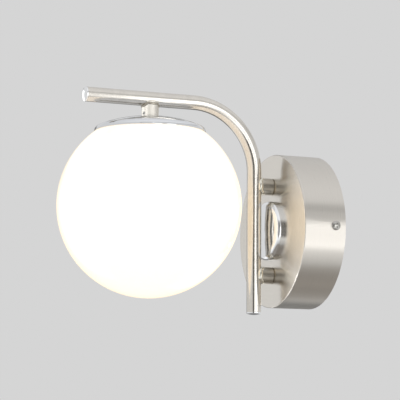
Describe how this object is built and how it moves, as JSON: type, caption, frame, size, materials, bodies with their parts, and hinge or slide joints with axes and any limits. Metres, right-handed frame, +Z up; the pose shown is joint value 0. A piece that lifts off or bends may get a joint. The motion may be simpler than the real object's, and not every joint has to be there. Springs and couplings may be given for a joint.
{
  "type": "globe wall sconce",
  "caption": "Wall light with a round canopy, a bent tube arm on two posts, and an opal glass ball hung under a crowned cap.",
  "frame": {"origin": "centre of the canopy's back, on the wall surface", "axes": "-Y out of the wall into the room, +Z up, +X to the right of someone facing the wall"},
  "size_m": [0.15, 0.2206, 0.1792],
  "materials": {
    "satin_nickel": "satin nickel plate, brushed",
    "polished_nickel": "polished nickel plate",
    "zinc_steel": "zinc-plated steel",
    "spring_steel": "bright spring steel",
    "black_steel": "black oxide steel",
    "brass": "plain brass",
    "white_plastic": "moulded white plastic",
    "ceramic": "glazed white ceramic",
    "silicone": "soft translucent silicone",
    "live_insulation": "brown wire insulation",
    "neutral_insulation": "blue wire insulation",
    "earth_insulation": "green and yellow wire insulation",
    "opal_glass": "opal white glass, glossy",
    "lamp_cap_metal": "nickel-plated lamp cap",
    "lamp_black_glass": "black glass insulator",
    "lamp_plastic": "white thermal plastic",
    "lamp_opal": "opal plastic diffuser",
    "board_white": "white solder mask",
    "led_phosphor": "yellow phosphor"
  },
  "bodies": {
    "base": {"canopy": "satin_nickel", "side_screws": "polished_nickel", "wall_bracket": "zinc_steel", "earth_screw": "brass", "earth_cup_washer": "brass", "earth_tags": "brass", "terminal_block": "white_plastic", "terminal_barrels": "brass", "terminal_screws": "zinc_steel", "terminal_fixing_screw": "zinc_steel", "canopy_dome": "polished_nickel", "dome_stud": "zinc_steel", "dome_washer": "zinc_steel", "dome_nut": "zinc_steel", "upper_standoff": "satin_nickel", "lower_standoff": "satin_nickel", "arm_nipples": "zinc_steel", "arm_nuts": "zinc_steel", "arm_lock_washers": "zinc_steel", "wire_bush": "white_plastic", "arm_tube": "satin_nickel", "front_end_cap": "polished_nickel", "bottom_end_cap": "polished_nickel", "stem": "satin_nickel", "stem_grub_screw": "black_steel", "fitter_cap": "polished_nickel", "cap_nipple": "zinc_steel", "cap_nut": "zinc_steel", "spring_spider": "spring_steel", "globe_gasket": "silicone", "holder_cap": "white_plastic", "holder_insert": "ceramic", "holder_skirt": "white_plastic", "holder_shell": "brass", "centre_contact": "brass", "holder_terminals": "brass", "live_lead": "live_insulation", "neutral_lead": "neutral_insulation", "earth_lead": "earth_insulation"},
    "globe": {"globe_glass": "opal_glass"},
    "lamp_carrier": {"lamp_tip": "lamp_cap_metal"},
    "lamp": {"lamp_insulator": "lamp_black_glass", "lamp_shell": "lamp_cap_metal", "lamp_collar": "lamp_plastic", "lamp_ball": "lamp_opal", "led_board": "board_white", "led_chips": "led_phosphor"}
  },
  "joints": [
    {"name": "globe_drop", "type": "slide", "parent": "base", "child": "globe", "axis": [0, 0, -1], "range_m": [0, 0.12]},
    {"name": "lamp_lower", "type": "slide", "parent": "base", "child": "lamp_carrier", "axis": [0, 0, -1], "range_m": [0, 0.02178]},
    {"name": "lamp_turn", "type": "hinge", "parent": "lamp_carrier", "child": "lamp", "pos_m": [0, -0.1456, 0], "axis": [0, 0, -1], "range_deg": [0, 2160]}
  ],
  "couplings": [
    {"joint": "lamp_lower", "follows": "lamp_turn", "m_per_rad": 0.00057773}
  ]
}
